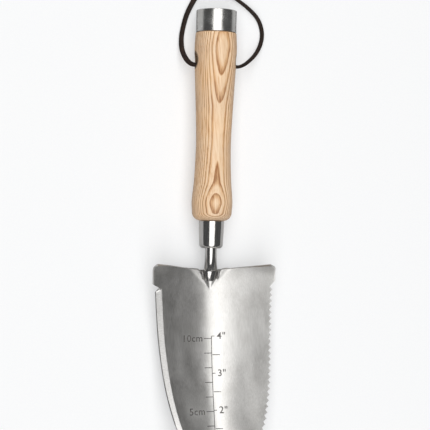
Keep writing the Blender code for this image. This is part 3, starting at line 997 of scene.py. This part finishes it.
    def depth_station(self, depth: float) -> float:
        """Station at a depth measured along the curved sheet from the tip."""
        station, walked, step = 0.0, 0.0, 0.0005
        while walked < depth:
            rise = self.hollow_height(0.0, station + step) - self.hollow_height(0.0, station)
            walked += math.hypot(step, rise)
            station += step
        return station - (walked - depth)

    def build_scale(self, mark: bpy.types.Material) -> bpy.types.Object:
        """Builds the etched depth scale: centimetres on the left, half inches on the right.

        Args:
            mark: Finish of the marks.

        Returns:
            The scale, lying on the hollow face.
        """
        line, top = self.scale_offset, self.depth_station(4 * INCH)
        tick, half_tick = self.centimetre_tick, self.half_inch_tick
        left_gap, right_gap = self.numeral_gaps
        bm = bmesh.new()
        self.stroke(bm, (line, self.depth_station(CENTIMETRE)), (line, top))
        for centimetre in range(1, 11):
            station = self.depth_station(centimetre * CENTIMETRE)
            self.stroke(bm, (line - tick, station), (line, station))
        for half in range(1, 9):
            station = self.depth_station(half * INCH / 2)
            start, end = half_tick if half % 2 else (0.0, self.inch_tick)
            self.stroke(bm, (line + start, station), (line + end, station))
        for centimetre in (5, 10):
            anchor = (line - tick - left_gap, self.depth_station(centimetre * CENTIMETRE))
            self.numeral(bm, f"{centimetre}cm", anchor, "RIGHT")
        for whole in (1, 2, 3, 4):
            self.numeral(bm, f'{whole}"', (line + right_gap, self.depth_station(whole * INCH)), "LEFT")
        lean = Matrix.Rotation(-self.scale_lean, 3, "Z")
        bmesh.ops.rotate(bm, cent=(0.0, self.scale_pivot, 0.0), matrix=lean, verts=bm.verts)
        bmesh.ops.remove_doubles(bm, verts=bm.verts, dist=1e-7)
        bmesh.ops.triangulate(bm, faces=bm.faces)
        bmesh.ops.recalc_face_normals(bm, faces=bm.faces)
        for face in bm.faces:
            if face.normal.z < 0.0:
                face.normal_flip()
        bmesh.ops.solidify(bm, geom=bm.faces[:], thickness=self.mark_lift * 2)
        lowest = min(vert.co.z for vert in bm.verts)
        for vert in bm.verts:
            height = self.hollow_height(vert.co.x, vert.co.y) - self.mark_lift
            vert.co.z = height + (vert.co.z - lowest)
        bmesh.ops.recalc_face_normals(bm, faces=bm.faces)
        return object_from(bm, "blade_scale", mark, place=self.setting.blade_place)

    def build(self) -> None:
        """Builds and dresses the blade and its scale."""
        satin = SatinSteel(self.setting).make()
        ground = GroundSteel(self.setting).make()
        sheet = self.build_sheet(satin, ground)
        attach(sheet, Body.TROWEL.value)
        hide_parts("blade")
        scale = self.build_scale(EtchedMark().make())
        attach(scale, Body.TROWEL.value)
        log.info("blade: %d faces, scale: %d faces", len(sheet.data.polygons), len(scale.data.polygons))


# --------------------------------------------------------------------------- tang and welds


@dataclass
class Tang:
    """The forged tang: its neck out of the ferrule, the flared foot on the blade and two weld beads."""

    setting: Setting
    blade: Blade
    neck_radius: float = 0.0039
    tang_depth: float = 0.058
    tail_radius: float = 0.0022
    foot_length: float = 0.0070
    foot_half_width: float = 0.0046
    foot_half_height: float = 0.0025
    toe_half_width: float = 0.0033
    toe_half_height: float = 0.0014
    foot_room: float = 0.0003
    foot_steps: int = 18
    neck_points: int = 26
    neck_reach: float = 0.45
    neck_drop: float = 0.55
    weld_radius: float = 0.0009
    weld_steps: int = 64
    weld_sections: int = 56
    weld_ripple: float = 0.16
    weld_lean: float = 0.25
    gap: float = 0.0002

    def resting_height(self, station: float, half_x: float, half_up: float) -> float:
        """Height of an oval's centre when it lies just clear of the hollow face."""
        places = [half_x * i / 24 for i in range(24)]
        return self.foot_room + max(
            self.blade.hollow_height(x, station) + half_up * math.sqrt(1.0 - (x / half_x) ** 2)
            for x in places
        )

    def foot_sections(self, steps: int) -> list[tuple[Vector, float, float]]:
        """Sections of the foot from the blade's top edge to the toe.

        Args:
            steps: Number of steps between the sections.

        Returns:
            Each section's centre, half width and half height.
        """
        sections = []
        for share in spread(0.0, 1.0, steps):
            station = self.setting.blade_length - self.foot_length * share
            bend = 1.0 - share**1.6
            half_x = self.toe_half_width + (self.foot_half_width - self.toe_half_width) * bend
            half_up = self.toe_half_height + (self.foot_half_height - self.toe_half_height) * bend
            height = self.resting_height(station, half_x, half_up)
            sections.append((Vector((0.0, station, height)), half_x, half_up))
        return sections

    def sections(self) -> list[tuple[Vector, float, float]]:
        """All sections of the tang, from its tail in the grip to the foot's toe."""
        set_up, neck, tail = self.setting, self.neck_radius, self.tail_radius
        sunk = set_up.ferrule_length + self.tang_depth
        sections = [
            (set_up.axis(sunk), tail, tail),
            (set_up.axis(sunk - 0.004), tail + 0.0006, tail + 0.0006),
            (set_up.axis(set_up.ferrule_length), neck, neck),
            (set_up.axis(0.002), neck, neck),
        ]
        foot = self.foot_sections(self.foot_steps)
        start, end = set_up.axis(-0.001), foot[0][0]
        reach = (start.y - end.y) * self.neck_reach
        points = self.neck_points
        curve = interpolate_bezier(
            start,
            start - Vector((0.0, reach, 0.0)),
            end + Vector((0.0, reach, reach * self.neck_drop)),
            end,
            points,
        )
        for i, point in enumerate(curve[:-1]):
            flare = (i / (points - 1)) ** 3
            half_x = neck + (self.foot_half_width - neck) * flare
            half_up = neck + (self.foot_half_height - neck) * flare
            sections.append((point, half_x, half_up))
        return sections + foot

    def set_over(self, place: Matrix, station: float) -> Matrix:
        """Turns a section with the blade's set, which grows along the neck, and moves it over."""
        share = ease((self.setting.mouth - station) / self.setting.neck_showing)
        pivot = Matrix.Translation((0.0, self.setting.mouth, 0.0))
        turn = pivot @ Matrix.Rotation(self.setting.blade_set * share, 4, "Z") @ pivot.inverted()
        return Matrix.Translation(self.setting.origin) @ turn @ place

    def build_tang(self, finish: bpy.types.Material) -> bpy.types.Object:
        """Builds the tang in its finish."""
        sections = self.sections()
        places = []
        for i, (centre, half_x, half_up) in enumerate(sections):
            before, after = sections[max(0, i - 1)][0], sections[min(len(sections) - 1, i + 1)][0]
            run = (before - after).normalized()
            up = Vector((0.0, -run.z, run.y))
            place = facing(centre, Vector((1.0, 0.0, 0.0)), up, half_x, half_up)
            places.append(self.set_over(place, centre.y))
        bm = drawn(places, 48)
        return object_from(bm, "tang_forging", finish)

    def build_weld(self, side: float, finish: bpy.types.Material) -> bpy.types.Object:
        """Builds the weld bead on one side of the foot; its ripples are the welder's steps."""
        places = []
        sections = self.foot_sections(self.weld_steps)[: self.weld_sections]
        for i, (centre, half_x, _) in enumerate(sections):
            ripple = 1.0 - self.weld_ripple * abs(math.sin(math.pi * i / 6))
            ends = min(1.0, 0.45 + 0.14 * min(i, len(sections) - 1 - i))
            radius = self.weld_radius * ripple * ends
            x = half_x + self.gap + self.weld_radius
            station = centre.y - 0.0004
            reach = self.weld_radius
            low, high = (self.blade.hollow_height(x + step, station) for step in (-reach, reach))
            uphill = high - low
            clear = math.hypot(1.0, uphill / (2 * reach))
            height = self.blade.hollow_height(x, station) + (self.gap + reach) * clear
            height += abs(uphill) * self.weld_lean
            middle = Vector((side * x, station, height))
            up = Vector((0.0, -self.weld_lean, 1.0)).normalized()
            place = facing(middle, Vector((1.0, 0.0, 0.0)), up, radius, radius)
            places.append(self.setting.blade_place @ place)
        name = "weld_run_left" if side < 0 else "weld_run_right"
        return object_from(drawn(places, 20), name, finish)

    def build(self) -> None:
        """Builds and dresses the tang and both weld beads."""
        tang = self.build_tang(PolishedSteel(self.setting).make())
        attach(tang, Body.TROWEL.value)
        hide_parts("tang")
        weld_metal = WeldSteel().make()
        for side, node in ((-1.0, "weld_bead_left"), (1.0, "weld_bead_right")):
            bead = self.build_weld(side, weld_metal)
            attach(bead, Body.TROWEL.value)
            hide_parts(node)
        log.info("tang: %d faces", len(tang.data.polygons))


# --------------------------------------------------------------------------- handle


@dataclass
class Handle:
    """The ferrule, the turned grip with its lace hole, the end cap and the hidden resin."""

    setting: Setting
    gap: float = 0.0003
    neck_radius: float = 0.0039
    tang_depth: float = 0.058
    resin: float = 0.0006
    ferrule_radius: float = 0.0086
    ferrule_end_radius: float = 0.0080
    ferrule_round: float = 0.0026
    ferrule_wall: float = 0.0008
    cap_face: float = 0.0040
    cap_wall: float = 0.0015
    top_round: float = 0.0010
    bulge_radius: float = 0.01435
    bulge_station: float = 0.012
    waist_radius: float = 0.0118
    waist_station: float = 0.076
    swell_radius: float = 0.0138
    swell_station: float = 0.1145
    end_round: float = 0.0055
    hole_radius: float = 0.0052
    hole_flare: float = 0.0012

    @property
    def tang_bore(self) -> float:
        """Radius of the bore for the tang and its resin."""
        return self.neck_radius + self.resin + 2 * self.gap

    @property
    def cap_spigot(self) -> float:
        """Radius of the grip's spigot in the cap."""
        return self.setting.cap_radius - self.cap_wall - self.resin - 2 * self.gap

    def build_ferrule(self, finish: bpy.types.Material) -> bpy.types.Object:
        """Builds the ferrule: a drawn cup with a rounded bottom and a softened rim."""
        bore, length = self.neck_radius + 0.00012, self.setting.ferrule_length - self.gap
        centre = (self.ferrule_end_radius - self.ferrule_round, self.ferrule_round)
        rim = self.ferrule_wall / 2
        rim_centre = (self.ferrule_radius - rim, length - rim)
        profile = [(bore, 0.00012), (bore + 0.00012, 0.0)]
        profile += arc(centre, self.ferrule_round, -90.0, 0.0, 18)
        profile += arc(rim_centre, rim, 0.0, 180.0, 12)
        profile += arc(centre, self.ferrule_round - self.ferrule_wall, 0.0, -90.0, 10)
        profile += [(bore, self.ferrule_wall)]
        return object_from(turned(profile, 128), "ferrule_cup", finish, place=self.setting.handle_place)

    def grip_profile(self) -> list[tuple[float, float]]:
        """The grip's outline from its bore round both spigots, as radius and distance."""
        low = self.setting.ferrule_length
        top = low + self.setting.grip_length
        cap = self.setting.cap_radius
        end_centre = (self.swell_radius - self.end_round - 0.0004, low + self.end_round)
        curve = (
            (end_centre[1], end_centre[0] + self.end_round),
            (top - self.swell_station, self.swell_radius),
            (top - 0.100, self.waist_radius + 0.00075),
            (top - self.waist_station, self.waist_radius),
            (top - 0.056, self.waist_radius + 0.0006),
            (top - 0.036, self.bulge_radius - 0.0010),
            (top - self.bulge_station, self.bulge_radius),
            (top - self.top_round, cap + 0.0002),
        )
        spigot = self.ferrule_end_radius - self.ferrule_wall - self.gap
        start = self.ferrule_round + self.gap
        bore_end = low + self.tang_depth_room
        inside = self.setting.cap_length - self.cap_face - self.resin - 2 * self.gap
        profile = [(0.0, bore_end), (self.tang_bore, bore_end), (self.tang_bore, start)]
        profile += [(spigot, start), (spigot, low)]
        profile += arc(end_centre, self.end_round, -90.0, 0.0, 20)
        places = spread(curve[0][0], curve[-1][0], 110)
        profile += [(through(curve, place), place) for place in places[1:]]
        edge_centre = (cap + 0.0002 - 0.0007, top - self.gap - 0.0007)
        profile += arc(edge_centre, 0.0007, 0.0, 90.0, 6)
        profile += [(self.cap_spigot, top - self.gap), (self.cap_spigot, top + inside)]
        profile += [(0.0, top + inside)]
        return profile

    @property
    def tang_depth_room(self) -> float:
        """Depth of the bore beyond the ferrule."""
        return self.tang_depth + self.resin + 2 * self.gap

    def hole_cutter(self) -> bpy.types.Object:
        """The body that cuts the lace's hole, flared at both mouths by rounded shoulders."""
        mouth = self.bulge_radius + 0.0004
        bend = self.hole_flare
        profile = [(0.0, -mouth)]
        profile += arc((self.hole_radius + bend, bend - mouth), bend, 270.0, 180.0, 10)
        profile += arc((self.hole_radius + bend, mouth - bend), bend, 180.0, 90.0, 10)
        profile += [(0.0, mouth)]
        bm = turned(profile, 64)
        bmesh.ops.rotate(bm, verts=bm.verts, matrix=Matrix.Rotation(math.radians(90.0), 3, "Z"))
        distance = self.setting.handle_length - self.setting.hole_from_cap
        bmesh.ops.translate(bm, verts=bm.verts, vec=(0.0, distance, 0.0))
        return object_from(bm, "hole_cutter", place=self.setting.handle_place)

    def build_grip(self, finish: bpy.types.Material) -> bpy.types.Object:
        """Builds the turned grip and cuts the lace's hole across it."""
        place = self.setting.handle_place
        grip = object_from(turned(self.grip_profile(), 144), "turned_grip", finish, place=place)
        cutter = self.hole_cutter()
        cut = grip.modifiers.new("lace_hole", "BOOLEAN")
        cut.operation = "DIFFERENCE"
        cut.solver = "EXACT"
        cut.object = cutter
        bpy.context.view_layer.update()
        applied(grip)
        bpy.data.objects.remove(cutter)
        grip.data.set_sharp_from_angle(angle=math.radians(38.0))
        return grip

    def build_cap(self, finish: bpy.types.Material) -> bpy.types.Object:
        """Builds the end cap: a thick face on a short skirt, its edges softened."""
        place, radius = self.setting, self.setting.cap_radius
        top, low = place.handle_length, place.handle_length - place.cap_length
        bore, edge, soft = radius - self.cap_wall, place.cap_edge_round, 0.0002
        centre = (radius - edge, top - edge)
        profile = [(0.0, top - self.cap_face), (bore, top - self.cap_face), (bore, low)]
        profile += arc((radius - soft, low + soft), soft, -90.0, 0.0, 4)
        profile += arc(centre, edge, 0.0, 90.0, 8)
        profile += [(radius * 0.6, top - 0.00005), (0.0, top - 0.00008)]
        return object_from(turned(profile, 144), "end_cap_turning", finish, place=place.handle_place)

    def dress_resin(self) -> None:
        """Gives the two hidden resin bodies their finish."""
        finish = AmberResin().make()
        for node in ("tang_resin", "cap_resin"):
            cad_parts[node].data.materials.clear()
            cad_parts[node].data.materials.append(finish)

    def build(self) -> None:
        """Builds and dresses the handle's pieces."""
        polished = PolishedSteel(self.setting, "ferrule_steel").make()
        pieces = (
            (self.build_ferrule(polished), "ferrule", Slot.POLISHED),
            (self.build_grip(AshWood(self.setting).make()), "grip", Slot.WOOD),
            (self.build_cap(TurnedSteel(self.setting).make()), "end_cap", Slot.CAP),
        )
        for piece, node, slot in pieces:
            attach(piece, Body.TROWEL.value)
            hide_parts(node)
            log.info("%s: %d faces", piece.name, len(piece.data.polygons))
        self.dress_resin()


# --------------------------------------------------------------------------- lace


@dataclass
class LaceHalf:
    """One half of the leather lace: out of the hole, to the knot, through it and on to its tail."""

    setting: Setting
    name: str
    side: float
    route: Sequence[tuple[float, float, float]]
    twist: Curve
    knot_scale: float
    length: float
    nodes: tuple[str, ...]
    width: float = 0.0035
    thickness: float = 0.0023
    knot_middle: tuple[float, float] = (-0.0025, 0.0592)
    knot_reach: tuple[float, float, float] = (0.0032, 0.0033, 0.00085)
    knot_height: float = 0.0036
    tail_length: float = 0.020
    tail_spread: float = 0.0050
    half_gap: float = 0.0004
    straight_run: float = 0.006

    def knot_points(self) -> list[Vector]:
        """The half's way through the overhand knot: an open trefoil, drawn tight."""
        hole = self.setting.hole
        middle = Vector((self.knot_middle[0], hole.y + self.knot_middle[1], self.knot_height))
        middle.x += self.setting.origin.x
        points = []
        for t in spread(-1.9, 1.9, 24):
            along, across, up = t**3 - 3.0 * t, t**4 - 4.0 * t**2, t**5 / 5.0 - 2.0 * t
            reach = self.knot_reach
            sideways = self.side * (across + 2.0) / 2.0 * reach[0]
            point = Vector((sideways, along / 2.0 * reach[1], self.side * up * reach[2]))
            points.append(middle + point * self.knot_scale)
        return points

    def path(self) -> list[Vector]:
        """The half's whole middle line in the row frame, evenly close."""
        hole, shift = self.setting.hole, self.setting.origin
        start = Vector((hole.x + self.side * self.half_gap, hole.y, hole.z))
        inside = Vector((hole.x + self.side * self.straight_run, hole.y, hole.z))
        laid = [Vector((shift.x + x, hole.y + beyond, shift.z + z)) for x, beyond, z in self.route]
        knot = self.knot_points()
        last = knot[-1]
        low = self.thickness / 2 + 0.0004
        tail = [
            Vector((last.x + self.side * self.tail_spread * share, last.y + self.tail_length * share, z))
            for share, z in ((0.3, low + 0.0012), (0.6, low + 0.0003), (1.0, low + 0.0002))
        ]
        return evened([start, inside, *laid, *knot, *tail], 0.0005)

    def places(self, path: Sequence[Vector]) -> list[Matrix]:
        """Places of the half's sections along its path, turned by its twist."""
        places, side = [], None
        for i, point in enumerate(path):
            run = (path[min(i + 1, len(path) - 1)] - path[max(i - 1, 0)]).normalized()
            if side is None:
                side = run.cross(Vector((0.0, 0.0, 1.0))).normalized()
            side = (side - run * side.dot(run)).normalized()
            share = i / (len(path) - 1)
            angle = math.radians(through(self.twist, share))
            turned_side = Matrix.Rotation(angle, 3, run) @ side
            ends = min(1.0, 0.72 + 0.14 * min(i, len(path) - 1 - i))
            up = run.cross(turned_side).normalized()
            half_side, half_up = self.width / 2 * ends, self.thickness / 2 * ends
            places.append(facing(point, turned_side, up, half_side, half_up))
        return places

    def build(self, finish: bpy.types.Material) -> None:
        path = self.path()
        bm = drawn(self.places(path), 20, 0.72)
        half = object_from(bm, self.name, finish)
        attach(half, Body.LANYARD.value)
        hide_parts(*self.nodes)
        measured = sum((b - a).length for a, b in zip(path, path[1:]))
        log.info("%s: %.1f mm long", self.name, measured * 1000)


def evened(points: Sequence[Vector], spacing: float) -> list[Vector]:
    """A smooth curve through points, cut to even steps.

    Args:
        points: Where the curve passes.
        spacing: Distance between the returned points.

    Returns:
        Points along the curve.
    """
    fine = [points[0]]
    for i in range(len(points) - 1):
        a, b = points[i], points[i + 1]
        before = points[i - 1] if i else a
        after = points[i + 2] if i + 2 < len(points) else b
        size = (b - a).length
        lead = (b - before).normalized() * size / 3
        trail = (after - a).normalized() * size / 3
        steps = max(2, round(size / (spacing / 4)))
        fine += interpolate_bezier(a, a + lead, b - trail, b, steps + 1)[1:]
    even = [fine[0]]
    walked = 0.0
    for a, b in zip(fine, fine[1:]):
        walked += (b - a).length
        if walked >= spacing:
            even.append(b)
            walked = 0.0
    for _ in range(8):
        middle = [(a + 2.0 * b + c) / 4.0 for a, b, c in zip(even, even[1:], even[2:])]
        even = [even[0], *middle, even[-1]]
    return even


LACE_LEFT = (  # x, distance beyond the hole towards the cap, height above the table
    (-0.0135, -0.0032, 0.0137),
    (-0.0172, -0.0018, 0.0112),
    (-0.0200, 0.0025, 0.0075),
    (-0.0217, 0.0085, 0.0040),
    (-0.0219, 0.0160, 0.0021),
    (-0.0208, 0.0235, 0.0017),
    (-0.0184, 0.0325, 0.0017),
    (-0.0142, 0.0415, 0.0017),
    (-0.0095, 0.0495, 0.0019),
    (-0.0060, 0.0545, 0.0028),
)
LACE_RIGHT = (
    (0.0135, -0.0034, 0.0137),
    (0.0188, -0.0024, 0.0110),
    (0.0248, 0.0018, 0.0072),
    (0.0303, 0.0080, 0.0038),
    (0.0337, 0.0160, 0.0020),
    (0.0338, 0.0235, 0.0017),
    (0.0306, 0.0315, 0.0017),
    (0.0236, 0.0385, 0.0017),
    (0.0143, 0.0450, 0.0017),
    (0.0062, 0.0505, 0.0019),
    (0.0010, 0.0545, 0.0028),
)


# --------------------------------------------------------------------------- studio


@dataclass
class Studio:
    """Pale table, one wide softbox overhead and a dim room."""

    camera_target: Vector = field(default_factory=lambda: Vector((0.0031, 0.0214, 0.0)))
    camera_lean: float = math.radians(10.0)
    camera_pitch: float = math.radians(0.7)
    camera_roll: float = math.radians(1.6)
    camera_distance: float = 1.25
    lens: float = 152.77
    sensor: float = 36.0
    table_size: float = 8.0
    table_glow: float = 0.34
    box_height: float = 1.75
    box_aside: float = -0.10
    box_width: float = 1.55
    box_length: float = 9.0
    box_power: float = 94.0
    room: float = 0.10
    room_colour: tuple = (0.97, 0.985, 1.0, 1.0)
    table_drop: float = 0.0001
    table_roughness: float = 0.9
    table_specular: float = 0.1

    def build_camera(self) -> None:
        """Stands the camera almost overhead, leaning a little to the left."""
        data = bpy.data.cameras.new("camera")
        data.lens = self.lens
        data.sensor_width = self.sensor
        camera = linked("camera", data)
        lean, pitch = self.camera_lean, self.camera_pitch
        back = Vector(
            (-math.sin(lean) * math.cos(pitch), -math.sin(pitch), math.cos(lean) * math.cos(pitch))
        )
        side = Vector((0.0, 1.0, 0.0)).cross(back).normalized()
        up = back.cross(side)
        turn = Matrix((side, up, back)).transposed() @ Matrix.Rotation(self.camera_roll, 3, "Z")
        stand = self.camera_target + back * self.camera_distance
        camera.matrix_world = Matrix.Translation(stand) @ turn.to_4x4()
        bpy.context.scene.camera = camera

    def build_table(self) -> None:
        """Lays a pale matt table under the tool."""
        sheet = NodeSheet("table_paper")
        here = sheet.place()
        tooth = sheet.noise(here, 900.0, 3.0)
        tones = ((0.3, (0.64, 0.645, 0.65)), (0.7, (0.66, 0.665, 0.67)))
        sheet.surface(sheet.ramp(tooth, tones), self.table_roughness, 0.0, self.table_specular)
        seen = sheet.add("LightPath").outputs["Is Camera Ray"]
        sheet.put(sheet.shader, "Emission Color", (1.0, 1.0, 1.0, 1.0))
        sheet.put(sheet.shader, "Emission Strength", sheet.math("MULTIPLY", seen, self.table_glow))
        bm = bmesh.new()
        bmesh.ops.create_grid(bm, x_segments=1, y_segments=1, size=self.table_size / 2)
        bmesh.ops.translate(bm, vec=(0.0, 0.0, CAD_BOX[0].z - self.table_drop), verts=bm.verts)
        table = object_from(bm, "table", sheet.material)

    def build_lights(self) -> None:
        """Hangs the softbox and sets the room's dim light."""
        data = bpy.data.lights.new("softbox", "AREA")
        data.shape = "RECTANGLE"
        data.size = self.box_width
        data.size_y = self.box_length
        data.energy = self.box_power
        softbox = linked("softbox", data)
        softbox.location = (self.box_aside, 0.0, self.box_height)
        world = bpy.data.worlds.new("room")
        world.use_nodes = True
        background = world.node_tree.nodes["Background"].inputs
        background["Color"].default_value = self.room_colour
        background["Strength"].default_value = self.room
        bpy.context.scene.world = world
        bpy.context.scene.view_settings.view_transform = "Standard"

    def build(self) -> None:
        """Builds the camera, the table and the lights."""
        self.build_camera()
        self.build_table()
        self.build_lights()


def main() -> None:
    """Builds the studio, the lace, the blade, the tang and the handle, in that order."""
    logging.basicConfig(level=logging.INFO, format="%(name)s: %(message)s")
    setting = Setting()
    Studio().build()
    leather = DarkLeather().make()
    halves = (
        LaceHalf(
            setting,
            "lace_left",
            -1.0,
            LACE_LEFT,
            ((0.0, 90.0), (0.12, 60.0), (0.3, 10.0), (0.5, 30.0), (1.0, 0.0)),
            1.0,
            0.134,
            ("lace", "lace_knot", "lace_tail_left"),
        ),
        LaceHalf(
            setting,
            "lace_right",
            1.0,
            LACE_RIGHT,
            ((0.0, 90.0), (0.10, 80.0), (0.3, 75.0), (0.55, 50.0), (0.7, 0.0), (1.0, 0.0)),
            0.86,
            0.147,
            ("lace", "lace_knot", "lace_tail_right"),
        ),
    )
    for half in halves:
        half.build(leather)
    blade = Blade(setting)
    blade.build()
    Tang(setting, blade).build()
    Handle(setting).build()


if __name__ == "__main__":
    main()
